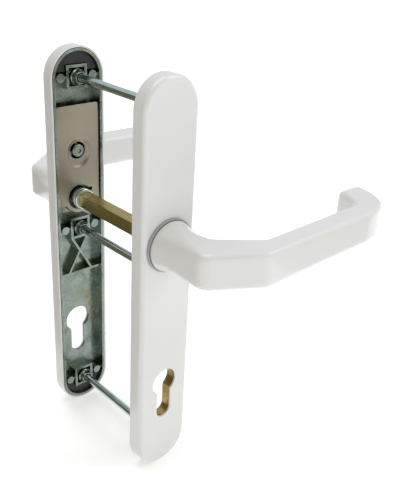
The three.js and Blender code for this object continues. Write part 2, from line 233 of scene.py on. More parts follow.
def bake_cut(piece, cutters):
    """Cuts the cutters out of the piece and throws them away."""
    for cutter in cutters:
        modifier = piece.modifiers.new("cut", "BOOLEAN")
        modifier.object = cutter
        modifier.operation = "DIFFERENCE"
        modifier.solver = "EXACT"
    graph = bpy.context.evaluated_depsgraph_get()
    cut_mesh = bpy.data.meshes.new_from_object(piece.evaluated_get(graph))
    piece.modifiers.clear()
    old = piece.data
    piece.data = cut_mesh
    bpy.data.meshes.remove(old)
    for cutter in cutters:
        bpy.data.objects.remove(cutter)


def grub_cutter(side, segments):
    """The grub screw's hole, from below the neck to the middle of the hub."""
    length = 20
    bm = bmesh.new()
    bmesh.ops.create_cone(bm, cap_ends=True, segments=segments, radius1=GRUB_HOLE,
                          radius2=GRUB_HOLE, depth=length,
                          matrix=Matrix.Translation((0, GRUB_DEPTH, -length / 2)))
    return object_from(bm, "cutter", handle_place(side))


def circle(radius, depth, z=0.0, count=2 * ARC_STEPS):
    return [(radius * cos(tau * i / count), depth, z + radius * sin(tau * i / count))
            for i in range(count)]


def add_lathe(bm, profile, z=0.0, count=2 * ARC_STEPS, closed=True):
    """Turns a (radius, depth) profile; a closed one is a ring, an open one is capped."""
    loops = skin(bm, [circle(radius, depth, z, count) for radius, depth in profile])
    if closed:
        bridge(bm, loops[-1], loops[0])
        return
    bm.faces.new(loops[0])
    bm.faces.new(loops[-1])


# ------------------------------------------------------------ materials


# Sockets of a Mix node that mixes colours.
MIX_FACTOR, MIX_FIRST, MIX_SECOND, MIX_RESULT = 0, 6, 7, 2
# The range that most of a noise texture's values lie in.
NOISE_LOW, NOISE_HIGH = 0.35, 0.65


class Finish:
    """A Principled material whose colour, roughness and bump are built up in nodes.

    Object coordinates are in metres, and so are the distances given to bump.
    """

    def __init__(self, name, colour, roughness, metallic=0.0):
        self.material = bpy.data.materials.new(name)
        self.material.use_nodes = True
        self.material.diffuse_color = (*colour, 1)
        self.nodes = self.material.node_tree.nodes
        self.links = self.material.node_tree.links
        self.shader = self.nodes["Principled BSDF"]
        self.shader.inputs["Base Color"].default_value = (*colour, 1)
        self.shader.inputs["Roughness"].default_value = roughness
        self.shader.inputs["Metallic"].default_value = metallic
        self.place = self.nodes.new("ShaderNodeTexCoord").outputs["Object"]
        self.colour = None
        self.normal = None
        self.base = (*colour, 1)

    def stretched(self, scale):
        mapping = self.nodes.new("ShaderNodeMapping")
        mapping.inputs["Scale"].default_value = scale
        self.links.new(self.place, mapping.inputs["Vector"])
        return mapping.outputs["Vector"]

    def noise(self, scale, detail=3.0, roughness=0.5, stretch=None, distortion=0.0):
        node = self.nodes.new("ShaderNodeTexNoise")
        node.inputs["Scale"].default_value = scale
        node.inputs["Detail"].default_value = detail
        node.inputs["Roughness"].default_value = roughness
        node.inputs["Distortion"].default_value = distortion
        self.links.new(self.stretched(stretch) if stretch else self.place, node.inputs["Vector"])
        return node.outputs["Fac"]

    def ranged(self, value, low, high, to_low=0.0, to_high=1.0):
        node = self.nodes.new("ShaderNodeMapRange")
        node.inputs["From Min"].default_value = low
        node.inputs["From Max"].default_value = high
        node.inputs["To Min"].default_value = to_low
        node.inputs["To Max"].default_value = to_high
        self.links.new(value, node.inputs["Value"])
        return node.outputs["Result"]

    def tint(self, factor, colour):
        """Mixes a colour over what is there, as far as the factor says."""
        mix = self.nodes.new("ShaderNodeMix")
        mix.data_type = "RGBA"
        first, second = mix.inputs[MIX_FIRST], mix.inputs[MIX_SECOND]
        if self.colour:
            self.links.new(self.colour, first)
        else:
            first.default_value = self.base
        second.default_value = (*colour, 1)
        self.links.new(factor, mix.inputs[MIX_FACTOR])
        self.colour = mix.outputs[MIX_RESULT]
        self.links.new(self.colour, self.shader.inputs["Base Color"])

    def vary_roughness(self, value, low, high):
        spread = self.ranged(value, NOISE_LOW, NOISE_HIGH, low, high)
        self.links.new(spread, self.shader.inputs["Roughness"])

    def bump(self, value, strength, distance):
        node = self.nodes.new("ShaderNodeBump")
        node.inputs["Strength"].default_value = strength
        node.inputs["Distance"].default_value = distance
        self.links.new(value, node.inputs["Height"])
        if self.normal:
            self.links.new(self.normal, node.inputs["Normal"])
        self.normal = node.outputs["Normal"]
        self.links.new(self.normal, self.shader.inputs["Normal"])

    def edge_wear_and_highlight(self, colour, reach=0.35, amount=0.7):
        """Paints a colour into the outer edges, as far in as the reach, in millimetres: partly edge
        wear, partly a painted highlight along the edge.

        Near an edge the rounded normal leans away from the face's own. The
        pointiness then keeps the outer edges and drops the inner ones.
        """
        soft = self.nodes.new("ShaderNodeBevel")
        soft.samples = 4
        soft.inputs["Radius"].default_value = reach * MM
        shape = self.nodes.new("ShaderNodeNewGeometry")
        lean = self.nodes.new("ShaderNodeVectorMath")
        lean.operation = "DOT_PRODUCT"
        self.links.new(soft.outputs["Normal"], lean.inputs[0])
        self.links.new(shape.outputs["Normal"], lean.inputs[1])
        both = self.nodes.new("ShaderNodeMath")
        both.operation = "MULTIPLY"
        self.links.new(self.ranged(lean.outputs["Value"], 0.995, 0.9, 0.0, amount), both.inputs[0])
        self.links.new(self.ranged(shape.outputs["Pointiness"], 0.495, 0.51), both.inputs[1])
        self.tint(both.outputs[0], colour)

    def painted_gap_shade(self, colour, reach, amount):
        """Paints shade into the gaps and corners narrower than the reach, in millimetres: darker where
        ambient occlusion finds nearby surfaces.
        """
        node = self.nodes.new("ShaderNodeAmbientOcclusion")
        node.samples = 6
        node.inputs["Distance"].default_value = reach * MM
        self.tint(self.ranged(node.outputs["AO"], 0.45, 0.1, 0.0, amount), colour)


def white_coating():
    f = Finish("white_coating", (0.755, 0.755, 0.757), 0.3)
    f.shader.inputs["Coat Weight"].default_value = 0.6
    f.shader.inputs["Coat Roughness"].default_value = 0.1
    f.tint(f.ranged(f.noise(11, 2), NOISE_LOW, NOISE_HIGH, 0.0, 0.6), (0.73, 0.73, 0.72))
    # lighter edges and creases: slight wear and a painted highlight along them
    f.edge_wear_and_highlight((0.79, 0.79, 0.77), 0.5, 0.5)
    f.vary_roughness(f.noise(50, 3), 0.28, 0.35)
    f.bump(f.noise(900, 1, 0.4), 0.03, 0.00003)
    return f.material


def zinc_casting():
    f = Finish("zinc_casting", (0.275, 0.335, 0.31), 0.32, 1.0)
    f.tint(f.ranged(f.noise(45, 4, 0.6, distortion=0.8), 0.42, 0.66, 0.0, 0.6), (0.26, 0.25, 0.14))
    f.tint(f.ranged(f.noise(70, 3, 0.6, distortion=1.2), 0.50, 0.70, 0.0, 0.7), (0.12, 0.16, 0.135))
    f.tint(f.ranged(f.noise(900, 3), 0.55, 0.75, 0.0, 0.5), (0.11, 0.12, 0.09))
    # lighter rims: partly wear, partly a painted highlight on the casting's edges
    f.edge_wear_and_highlight((0.62, 0.68, 0.64), 0.35, 0.7)
    # painted shade: the casting's gaps and corners darkened where light is blocked
    f.painted_gap_shade((0.03, 0.034, 0.026), 2.5, 0.35)
    f.vary_roughness(f.noise(120, 4), 0.16, 0.38)
    f.bump(f.noise(380, 4, 0.55), 0.22, 0.00012)
    f.bump(f.noise(90, 2), 0.25, 0.0004)
    return f.material


def steel_sheet():
    f = Finish("steel_sheet", (0.385, 0.35, 0.27), 0.44, 1.0)
    f.tint(f.ranged(f.noise(26, 1), 0.42, 0.64, 0.0, 0.8), (0.33, 0.30, 0.245))
    # lighter edges: partly wear, partly a painted highlight
    f.edge_wear_and_highlight((0.62, 0.61, 0.54), 0.3, 0.7)
    f.vary_roughness(f.noise(150, 4, stretch=(1, 1, 0.2)), 0.38, 0.5)
    f.bump(f.noise(900, 3, stretch=(1, 1, 0.06)), 0.05, 0.00003)
    f.bump(f.noise(30, 1), 0.2, 0.0004)
    return f.material


def bright_zinc():
    f = Finish("bright_zinc", (0.56, 0.67, 0.68), 0.14, 1.0)
    f.tint(f.ranged(f.noise(120, 3, distortion=0.7), 0.45, 0.68, 0.0, 0.4), (0.46, 0.53, 0.44))
    f.tint(f.ranged(f.noise(1400, 2), 0.55, 0.75, 0.0, 0.4), (0.24, 0.27, 0.25))
    # lighter edges: partly wear, partly a painted highlight
    f.edge_wear_and_highlight((0.86, 0.9, 0.9), 0.2, 0.8)
    f.vary_roughness(f.noise(300, 3), 0.14, 0.26)
    f.bump(f.noise(1500, 3, stretch=(1, 0.15, 1)), 0.08, 0.00004)
    return f.material


def olive_passivate():
    f = Finish("olive_passivate", (0.49, 0.395, 0.14), 0.3, 1.0)
    f.tint(f.ranged(f.noise(70, 4, stretch=(1, 0.12, 1)), 0.42, 0.64, 0.0, 0.7), (0.33, 0.235, 0.12))
    f.tint(f.ranged(f.noise(60, 3, distortion=1.0), 0.52, 0.7, 0.0, 0.5), (0.46, 0.40, 0.18))
    # lighter edges: partly wear, partly a painted highlight
    f.edge_wear_and_highlight((0.62, 0.55, 0.30), 0.3, 0.6)
    f.vary_roughness(f.noise(220, 4, stretch=(1, 0.1, 1)), 0.22, 0.4)
    f.bump(f.noise(1100, 3, stretch=(1, 0.05, 1)), 0.12, 0.00005)
    return f.material


def yellow_passivate():
    f = Finish("yellow_passivate", (0.50, 0.36, 0.13), 0.3, 1.0)
    f.tint(f.ranged(f.noise(140, 3, distortion=0.8), 0.42, 0.66, 0.0, 0.7), (0.36, 0.17, 0.06))
    f.tint(f.ranged(f.noise(300, 3), 0.52, 0.7, 0.0, 0.6), (0.52, 0.45, 0.17))
    # lighter edges: partly wear, partly a painted highlight
    f.edge_wear_and_highlight((0.58, 0.47, 0.25), 0.3, 0.7)
    f.vary_roughness(f.noise(400, 3), 0.28, 0.46)
    f.bump(f.noise(900, 3), 0.12, 0.00006)
    return f.material


def black_plastic():
    f = Finish("black_plastic", (0.018, 0.015, 0.017), 0.42)
    f.tint(f.ranged(f.noise(200, 3), 0.45, 0.7, 0.0, 0.7), (0.035, 0.03, 0.033))
    f.vary_roughness(f.noise(150, 3), 0.36, 0.55)
    f.bump(f.noise(1600, 2), 0.25, 0.00008)
    return f.material


def grey_nylon():
    f = Finish("grey_nylon", (0.36, 0.37, 0.385), 0.42)
    f.tint(f.ranged(f.noise(180, 3), 0.42, 0.66, 0.0, 0.5), (0.38, 0.39, 0.40))
    f.vary_roughness(f.noise(240, 2), 0.34, 0.5)
    f.bump(f.noise(1200, 2), 0.12, 0.00005)
    return f.material


def spring_steel():
    f = Finish("spring_steel", (0.24, 0.24, 0.25), 0.34, 1.0)
    f.tint(f.ranged(f.noise(220, 3), 0.45, 0.68, 0.0, 0.6), (0.15, 0.14, 0.12))
    # lighter edges: partly wear, partly a painted highlight
    f.edge_wear_and_highlight((0.5, 0.5, 0.5), 0.15, 0.7)
    f.vary_roughness(f.noise(400, 3), 0.26, 0.46)
    f.bump(f.noise(1800, 2), 0.12, 0.00004)
    return f.material


FINISHES = {make.__name__: make() for make in (
    white_coating, zinc_casting, steel_sheet, bright_zinc, olive_passivate,
    yellow_passivate, black_plastic, grey_nylon, spring_steel)}

# -------------------------------------------------------------- outlines


def plate_ring(inset, depth):
    radius = PLATE_HALF_WIDTH - inset
    ends = ((PLATE_TOP - PLATE_HALF_WIDTH, 0), (PLATE_BOTTOM + PLATE_HALF_WIDTH, pi))
    return [(radius * cos(turn + pi * i / ARC_STEPS), depth,
             centre + radius * sin(turn + pi * i / ARC_STEPS))
            for centre, turn in ends for i in range(ARC_STEPS + 1)]


def keyhole_ring(margin, depth):
    radius = KEYHOLE_RADIUS + margin
    half = KEYHOLE_SLOT_HALF + margin
    corner = asin(half / radius)
    start, sweep = corner - pi / 2, tau - 2 * corner
    barrel = [(radius * cos(start + sweep * i / ARC_STEPS), depth,
               KEYHOLE_HEIGHT + radius * sin(start + sweep * i / ARC_STEPS))
              for i in range(ARC_STEPS + 1)]
    steps = ARC_STEPS // 2
    foot = [(half * cos(pi + pi * i / steps), depth,
             KEYHOLE_HEIGHT - KEYHOLE_SLOT_DROP + half * sin(pi + pi * i / steps))
            for i in range(steps + 1)]
    return barrel + foot


# --------------------------------------------------------------- covers


def rounded_profile(radius, steps, start_depth):
    """(inset, depth) pairs of a quarter round from a side wall on to a face."""
    return [(radius * (1 - cos(pi / 2 * k / steps)), start_depth + radius * sin(pi / 2 * k / steps))
            for k in range(steps + 1)]


def hole_walls(bm, ring_at, profile):
    """A hole's wall from the face inwards: its first and last loops."""
    loops = skin(bm, [ring_at(margin, depth) for margin, depth in profile])
    return loops[0], loops[-1]


def add_cover(side):
    bm = bmesh.new()
    inner_face = PLATE_DEPTH - COVER_WALL
    lip, countersink_taper, edge_steps = 0.4, 0.8, 3
    side_top = PLATE_DEPTH - COVER_ROUNDING - lip
    outer = [(RIM_CHAMFER, 0.0), (0.0, RIM_CHAMFER), (0.0, side_top)]
    outer += rounded_profile(COVER_ROUNDING, 12, PLATE_DEPTH - COVER_ROUNDING)
    inner = [(RIM_CHAMFER, 0.0), (COVER_WALL - RIM_CHAMFER, 0.0), (COVER_WALL, RIM_CHAMFER),
             (COVER_WALL, inner_face - INNER_CHAMFER), (COVER_WALL + INNER_CHAMFER, inner_face)]
    front = skin(bm, [plate_ring(*at) for at in outer])[-1]
    back = skin(bm, [plate_ring(*at) for at in inner])[-1]
    edge = []
    for k in range(edge_steps + 1):
        turn = pi / 2 * k / edge_steps
        edge.append((EDGE * (1 - sin(turn)), PLATE_DEPTH - EDGE * (1 - cos(turn))))
    wall = edge + [(0.0, inner_face)]
    holes = [hole_walls(bm, keyhole_ring, wall)]
    holes.append(hole_walls(bm, lambda m, d: circle(BEARING_HOLE + m, d), wall))
    if side == "inside":
        cone = edge + [(0.0, PLATE_DEPTH - lip), (-countersink_taper, inner_face)]
        radius = SCREW_HEAD_RADIUS + EDGE
        for height in LEVEL_HEIGHTS.values():
            holes.append(hole_walls(
                bm, lambda m, d, z=height: circle(radius + m, d, z, ARC_STEPS), cone))
    fill(bm, [front] + [hole[0] for hole in holes])
    fill(bm, [back] + [hole[1] for hole in holes])
    piece = finish_piece(f"{side}_cover_shell", bm, "white_coating", "plates",
                         [f"{side}_cover"], handle_place(side))
    smooth(piece)


# --------------------------------------------------------------- levers


def bend(start, control, end, steps):
    """Points of a rounded corner, its ends included."""
    points = []
    for i in range(steps + 1):
        t = i / steps
        points.append(tuple((1 - t) ** 2 * a + 2 * t * (1 - t) * b + t * t * c
                            for a, b, c in zip(start, control, end)))
    return points


def straight(start, end, steps):
    """Points between two ends, neither included."""
    return [tuple(a + (b - a) * i / steps for a, b in zip(start, end)) for i in range(1, steps)]


def neck_stations(elbow_in):
    """(inner x, inner depth, outer x, outer depth, half height, corner radius)."""
    r = NECK_RADIUS
    return [
        (r - 0.5, NECK_BACK, 0.5 - r, NECK_BACK, r - 0.5, r - 0.5),
        (r - 0.15, NECK_BACK + 0.15, 0.15 - r, NECK_BACK + 0.15, r - 0.15, r - 0.15),
        (r, NECK_BACK + 0.5, -r, NECK_BACK + 0.5, r, r),
        (14.1, 14.6, -14.1, 14.8, 14.1, 14.1),
        (13.1, 17.6, -13.2, 18.2, 13.2, 13.1),
        (12.2, 20.8, -12.4, 22.2, 12.4, 12.0),
        (11.4, 24.0, -11.6, 26.8 - 0.2 * elbow_in, 11.8, 10.2),
        (10.8, 26.8, -10.9, 31.6 - 0.5 * elbow_in, 11.3, 8.0),
        (10.5, 29.2, -10.3, 36.6 - 0.8 * elbow_in, 10.9, 6.0),
    ]


def body_stations(reach, thicker, shorter, elbow_in):
    elbow, knee, turn = 8, 8, 10
    knee_x = KNEE_SHIFT * reach

    def at(x, depth, more=0.0):
        return (x - shorter, depth + reach + more)

    def knee_at(x, depth, more=0.0):
        return (x + knee_x, depth + reach + more)

    def elbow_at(x, depth):
        return (x, depth - elbow_in)

    inner = bend((10.4, 31.0), (10.4, 33.4), (13.6, 36.0), elbow)
    outer = bend(elbow_at(-10.2, 40.0), elbow_at(-10.1, 47.9), elbow_at(-4.6, 50.3), elbow)
    inner += straight((13.6, 36.0), knee_at(31.0, 49.2), 5)
    outer += straight(elbow_at(-4.6, 50.3), knee_at(17.8, 63.6, thicker), 5)
    inner += bend(knee_at(31.0, 49.2), knee_at(33.6, 51.2), knee_at(37.0, 51.0), knee)
    outer += bend(knee_at(17.8, 63.6, thicker), knee_at(20.6, 65.26, thicker),
                  knee_at(24.2, 65.1, thicker), knee)
    inner += straight(knee_at(37.0, 51.0), at(112.0, 48.8), 8)
    outer += straight(knee_at(24.2, 65.1, thicker), at(108.0, 63.3, thicker), 8)
    inner += bend(at(112.0, 48.8), at(117.4, 48.4), at(119.6, 43.2), 2 * turn)
    outer += bend(at(108.0, 63.3, thicker), at(124.5, 63.0, thicker),
                  at(132.4, 56.6, thicker), turn)
    outer += bend(at(132.4, 56.6, thicker), at(138.2, 51.9, thicker),
                  at(141.2, 41.8, 0.6 * thicker), turn)[1:]
    stations = []
    for i, ((xi, di), (xo, do)) in enumerate(zip(inner, outer)):
        soft = max(0.0, 1 - i / (elbow + 1))
        corner = LEVER_CORNER + (ELBOW_CORNER - LEVER_CORNER) * soft ** 2
        half_height = LEVER_HALF_HEIGHT + ELBOW_SWELL * soft ** 2
        stations.append((xi, di, xo, do, half_height, corner))
    return stations


def section_ring(station, inset=0.0, steps=12):
    """A rounded rectangle standing on the line from inner to outer point."""
    xi, di, xo, do, half_height, corner = station
    width = hypot(xo - xi, do - di)
    along = ((xo - xi) / width, (do - di) / width)
    centre = ((xi + xo) / 2, (di + do) / 2)
    a = width / 2 - inset
    b = half_height - inset
    r = min(max(corner - inset, 0.05), a, b)
    ring = []
    for u_sign, z_sign, start in ((1, 1, 0), (-1, 1, pi / 2), (-1, -1, pi), (1, -1, 3 * pi / 2)):
        for i in range(steps + 1):
            angle = start + pi / 2 * i / steps
            u = u_sign * (a - r) + r * cos(angle)
            z = z_sign * (b - r) + r * sin(angle)
            ring.append((centre[0] + u * along[0], centre[1] + u * along[1], z))
    return ring


def tip_rings(reach, shorter):
    """The return's straight end and the rounded tip that closes it.

    The base is where the straight end stops: inner x and depth, outer x and depth.
    """
    base = (123.4, 32.6, 143.9, 33.2)
    direction = (0.144, -0.933)
    tip_corner = LEVER_CORNER + 0.8

    def at(xi, di, xo, do, corner):
        return (xi - shorter, di + reach, xo - shorter, do + reach, LEVER_HALF_HEIGHT, corner)

    rings = [section_ring(at(121.7, 37.3, 142.4, 37.4, LEVER_CORNER))]
    steps = 10
    for k in range(steps + 1):
        angle = pi / 2 * k / steps
        ahead = TIP_ROUNDING * sin(angle)
        x, depth = direction[0] * ahead, direction[1] * ahead
        station = at(base[0] + x, base[1] + depth, base[2] + x, base[3] + depth, tip_corner)
        rings.append(section_ring(station, TIP_ROUNDING * (1 - cos(angle))))
    return rings


def add_lever(side):
    bm = bmesh.new()
    reach, thicker, shorter, elbow_in = LEVER_SHAPES[side]
    stations = neck_stations(elbow_in) + body_stations(reach, thicker, shorter, elbow_in)
    rings = [section_ring(station) for station in stations] + tip_rings(reach, shorter)
    loops = skin(bm, rings)
    bm.faces.new(loops[-1])
    mouth = loops[0]
    wall = [(BEARING_BORE * cos(atan2(v.co.z, -v.co.x)), BEARING_BORE * sin(atan2(v.co.z, -v.co.x)))
            for v in mouth]
    rims = [loop(bm, [(-c, depth, s) for c, s in wall]) for depth in (NECK_BACK, BORE_FRONT)]
    bridge(bm, mouth, rims[0])
    bridge(bm, rims[0], rims[1])
    bm.faces.new(rims[1])
    piece = finish_piece(f"{side}_lever_body", bm, "white_coating", "levers",
                         [f"{side}_lever"], handle_place(side))
    bake_cut(piece, [grub_cutter(side, 48)])
    smooth(piece, 40)


# --------------------------------------------------------- turned pieces


def add_bearing_ring(side):
    bm = bmesh.new()
    face = PLATE_DEPTH + GAP
    add_lathe(bm, [
        (BEARING_BORE, BEARING_BACK), (BEARING_SLEEVE, BEARING_BACK), (BEARING_SLEEVE, face),
        (BEARING_FLANGE - 0.15, face), (BEARING_FLANGE, face + 0.15),
        (BEARING_FLANGE, BEARING_FRONT - 0.55), (BEARING_FLANGE - 0.12, BEARING_FRONT - 0.25),
        (BEARING_FLANGE - 0.45, BEARING_FRONT - 0.06), (BEARING_FLANGE - 0.8, BEARING_FRONT),
        (NECK_RADIUS + 0.35, BEARING_FRONT), (NECK_RADIUS + 0.2, BEARING_FRONT - 0.4),
        (NECK_RADIUS - 0.6, BEARING_FRONT - 0.4), (NECK_RADIUS - 0.8, BEARING_FRONT),
        (BEARING_BORE, BEARING_FRONT)])
    piece = finish_piece(f"{side}_bearing_ring_turned", bm, "grey_nylon", "plates",
                         [f"{side}_bearing_ring"], handle_place(side))
    smooth(piece)


def add_collar(side, level):
    bm = bmesh.new()
    back, front = -COLLAR_PROUD, COLLAR_FRONT
    add_lathe(bm, [
        (SCREW_HOLE + 0.3, back), (3.4, back), (3.6, back + 0.2), (4.15, -1.3), (4.6, -0.55),
        (COLLAR_RADIUS, -0.2), (COLLAR_RADIUS, 1.6), (COLLAR_NECK, 1.8), (COLLAR_NECK, 2.4),
        (COLLAR_RADIUS, 2.6), (COLLAR_RADIUS, front - 0.2), (COLLAR_NECK, front),
        (SCREW_HOLE, front), (SCREW_HOLE, back + 0.3)], LEVEL_HEIGHTS[level], ARC_STEPS)
    piece = finish_piece(f"{side}_{level}_collar_turned", bm, "zinc_casting", "plates",
                         [f"{side}_{level}_screw_collar"], handle_place(side))
    smooth(piece)


def add_post(side):
    bm = bmesh.new()
    add_lathe(bm, [(0.7, 1.6), (1.5, 1.6), (1.7, 0.9), (2.0, 0.8), (3.0, 0.85), (3.6, 1.05),
                   (3.9, 1.4), (4.0, 1.75), (3.85, 1.9), (3.0, 1.9), (3.0, 6.5), (2.8, 6.7)],
              POST_HEIGHT, ARC_STEPS, closed=False)
    piece = finish_piece(f"{side}_post_turned", bm, "zinc_casting", "plates",
                         [f"{side}_spring_post"], handle_place(side))
    smooth(piece)


def add_hub(side):
    bm = bmesh.new()
    back, line = -HUB_PROUD, HUB_RADIUS - 0.15
    add_lathe(bm, [
        (HUB_RADIUS - 0.7, back), (HUB_RADIUS - 0.25, back + 0.1), (HUB_RADIUS, back + 0.4),
        (HUB_RADIUS, back + 1.8), (line, back + 1.95), (line, back + 2.25),
        (HUB_RADIUS, back + 2.4), (HUB_RADIUS, CLIP_GROOVE_BACK),
        (CLIP_GROOVE_RADIUS, CLIP_GROOVE_BACK), (CLIP_GROOVE_RADIUS, CLIP_GROOVE_FRONT),
        (HUB_RADIUS, CLIP_GROOVE_FRONT), (HUB_RADIUS, HUB_FRONT - 0.4),
        (HUB_RADIUS - 0.4, HUB_FRONT)], closed=False)
    piece = finish_piece(f"{side}_hub_turned", bm, "bright_zinc", "levers",
                         [f"{side}_hub"], handle_place(side))
    square = bmesh.new()
    bmesh.ops.create_cube(square, size=HUB_SQUARE, matrix=Matrix.Diagonal((1, 8, 1, 1)))
    bake_cut(piece, [object_from(square, "cutter", handle_place(side)), grub_cutter(side, 32)])
    smooth(piece)


# ---------------------------------------------------- cassette cover plate


def cassette_outline(inset, depth):
    half = CASSETTE_HALF_WIDTH - inset
    top = CASSETTE_TOP - inset
    bottom = CASSETTE_BOTTOM + inset
    corner = 1.6
    lobe = CASSETTE_LOBE - inset
    dip = asin(-bottom / lobe)
    ring = [(half, depth, bottom + i * (top - corner - bottom) / 6) for i in range(6)]
    for centre_x, turn in ((half - corner, 0), (corner - half, pi / 2)):
        ring += [(centre_x + corner * cos(turn + pi / 2 * i / 6), depth,
                  top - corner + corner * sin(turn + pi / 2 * i / 6)) for i in range(7)]
    ring += [(-half, depth, top - corner - i * (top - corner - bottom) / 6) for i in range(1, 7)]
    sweep = pi - 2 * dip
    ring += [(lobe * cos(pi + dip + sweep * i / 24), depth, lobe * sin(pi + dip + sweep * i / 24))
             for i in range(25)]
    return ring


def oblong_ring(half_width, low, high, depth):
    steps = ARC_STEPS // 2
    return [(half_width * cos(turn + pi * i / steps), depth,
             centre + half_width * sin(turn + pi * i / steps))
            for centre, turn in ((high - half_width, 0), (low + half_width, pi))
            for i in range(steps + 1)]


def notched_hole(radius, depth):
    """The hub's hole, with a small locating notch at one side."""
    notch_angle, notch_half_angle, notch_deep = 0.42, 0.15, 2.3
    ring = []
    for x, _, z in circle(1.0, depth):
        away = (atan2(z, x) - notch_angle) / notch_half_angle
        reach = radius + notch_deep / (1 + away ** 6)
        ring.append((x * reach, depth, z * reach))
    return ring


def add_cassette_cover(side):
    """A pressed steel plate, dished in an oblong round and below the post's hole."""
    bm = bmesh.new()
    back, front = CASSETTE_BACK, CASSETTE_BACK + CASSETTE_SHEET
    edge = 0.18
    rim = skin(bm, [cassette_outline(edge, back), cassette_outline(0, back + edge),
                    cassette_outline(0, front - edge), cassette_outline(edge, front)])
    hub = skin(bm, [notched_hole(CASSETTE_HUB_HOLE + 0.15, back),
                    notched_hole(CASSETTE_HUB_HOLE, back + 0.15),
                    notched_hole(CASSETTE_HUB_HOLE, front)])
    sunk = CASSETTE_DISH
    # Half width, foot, top and depth of each ring down into the dish.
    pressing = [(8.6, 18.4, 38.6, 0.0), (8.3, 18.7, 38.3, 0.03), (7.9, 19.1, 37.9, 0.16),
                (7.2, 19.8, 37.2, 0.6), (6.5, 20.5, 36.5, 1.1), (6.2, 20.8, 36.2, 1.25),
                (5.9, 21.1, 35.9, sunk)]
    near = skin(bm, [oblong_ring(w, lo, hi, back + down) for w, lo, hi, down in pressing])
    far = skin(bm, [oblong_ring(w + 0.2, lo - 0.2, hi + 0.2, front + down)
                    for w, lo, hi, down in pressing])
    post = skin(bm, [circle(CASSETTE_POST_HOLE + 0.1, back + sunk, POST_HEIGHT),
                     circle(CASSETTE_POST_HOLE, back + sunk + 0.1, POST_HEIGHT),
                     circle(CASSETTE_POST_HOLE, front + sunk, POST_HEIGHT)])
    fill(bm, [rim[0], hub[0], near[0]])
    fill(bm, [rim[-1], hub[-1], far[0]])
    fill(bm, [near[-1], post[0]])
    fill(bm, [far[-1], post[-1]])
    piece = finish_piece(f"{side}_cassette_plate", bm, "steel_sheet", "plates",
                         [f"{side}_cassette_cover"], handle_place(side))
    smooth(piece, 50)


# ------------------------------------------------------- spindle and screws


def add_spindle():
    low, high = node_box("spindle")
    half, length = high[0], high[1]
    bm = bmesh.new()
    bmesh.ops.create_cube(bm, size=2, matrix=Matrix.Diagonal((half, length, half, 1)))
    bmesh.ops.bevel(bm, geom=bm.edges[:], offset=0.22, segments=3, profile=0.5, affect="EDGES")
    piece = finish_piece("spindle_bar", bm, "olive_passivate", "levers", ["spindle"])
    smooth(piece)


def thread_radius(y, angle):
    phase = (y / THREAD_PITCH - angle / tau) % 1.0
    crest = 1 - abs(2 * phase - 1)
    return SCREW_RADIUS - THREAD_HEIGHT * (1 - min(1.0, crest * 1.3))


def add_screw(level):
    """A countersunk screw across the door, threaded where it enters the outside collar."""
    height = LEVEL_HEIGHTS[level]
    head = HALF_DOOR + PLATE_DEPTH - 0.1
    tip = -(HALF_DOOR + SCREW_INTO_PLATE)
    tip_cone = 0.6
    count = 32
    rings = [circle(1.7, tip, height, count)]
    thread_end = -HALF_DOOR + THREAD_OUT_OF_PLATE
    rows = int((thread_end - tip - tip_cone) / (THREAD_PITCH / ROWS_PER_TURN))
    for row in range(rows):
        y = tip + tip_cone + row * THREAD_PITCH / ROWS_PER_TURN
        ring = []
        for i in range(count):
            angle = tau * i / count
            radius = thread_radius(y, angle)
            ring.append((radius * cos(angle), y, height + radius * sin(angle)))
        rings.append(ring)
    shank = [(2.38, thread_end + 0.5), (SCREW_SHANK_RADIUS, thread_end + 0.9),
             (SCREW_SHANK_RADIUS, head - SCREW_HEAD_CONE - 0.6), (SCREW_RADIUS, head - SCREW_HEAD_CONE),
             (SCREW_HEAD_RADIUS - 0.1, head - 0.12), (SCREW_HEAD_RADIUS, head),
             (4.2, head + 0.35), (3.0, head + 0.65), (1.4, head + 0.85), (0.4, head + 0.88)]
    rings += [circle(radius, y, height, count) for radius, y in shank]
    bm = bmesh.new()
    loops = skin(bm, rings)
    bm.faces.new(loops[0])
    bm.faces.new(loops[-1])
    piece = finish_piece(f"{level}_screw_turned", bm, "bright_zinc", "plates",
                         [f"{level}_fixing_screw"])
    recess_arm = (5.2, 3.0, 0.9, 1)    # length, depth and width
    cutters = []
    for turn in (-1, 1):
        bar = bmesh.new()
        place = (Matrix.Translation((0, head + 0.35, height))
                 @ Matrix.Rotation(turn * pi / 4, 4, "Y") @ Matrix.Diagonal(recess_arm))
        bmesh.ops.create_cube(bar, size=1, matrix=place)
        cutters.append(object_from(bar, "cutter"))
    bake_cut(piece, cutters)
    smooth(piece, 35, weighted=False)


# ---------------------------------------------------- pieces kept from CAD

KEPT = {
    "base_casting": ("zinc_casting", 0.22),
    "upper_end_pad": ("black_plastic", 0.3),
    "lower_end_pad": ("black_plastic", 0.3),
    "return_spring": ("spring_steel", 0.0),
    "circlip": ("spring_steel", 0.12),
    "grub_screw": ("spring_steel", 0.15),
    "cylinder_guard": ("yellow_passivate", 0.2),
}


def dress_kept_node(node, finish, edge):
    """A new material, softened edges and smooth shading on a CAD node."""
    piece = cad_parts[node]
    piece.data.materials.clear()
    piece.data.materials.append(FINISHES[finish])
    if edge:
        bevel = piece.modifiers.new("edges", "BEVEL")
        bevel.width = edge * MM
        bevel.segments = 2
        bevel.limit_method = "ANGLE"
        bevel.angle_limit = radians(40)
    piece.data.polygons.foreach_set("use_smooth", [True] * len(piece.data.polygons))
    piece.data.set_sharp_from_angle(angle=radians(40 if edge else 60))
    modifier = piece.modifiers.new("weighted_normal", "WEIGHTED_NORMAL")
    modifier.keep_sharp = True


# ------------------------------------------------- floor, light and camera


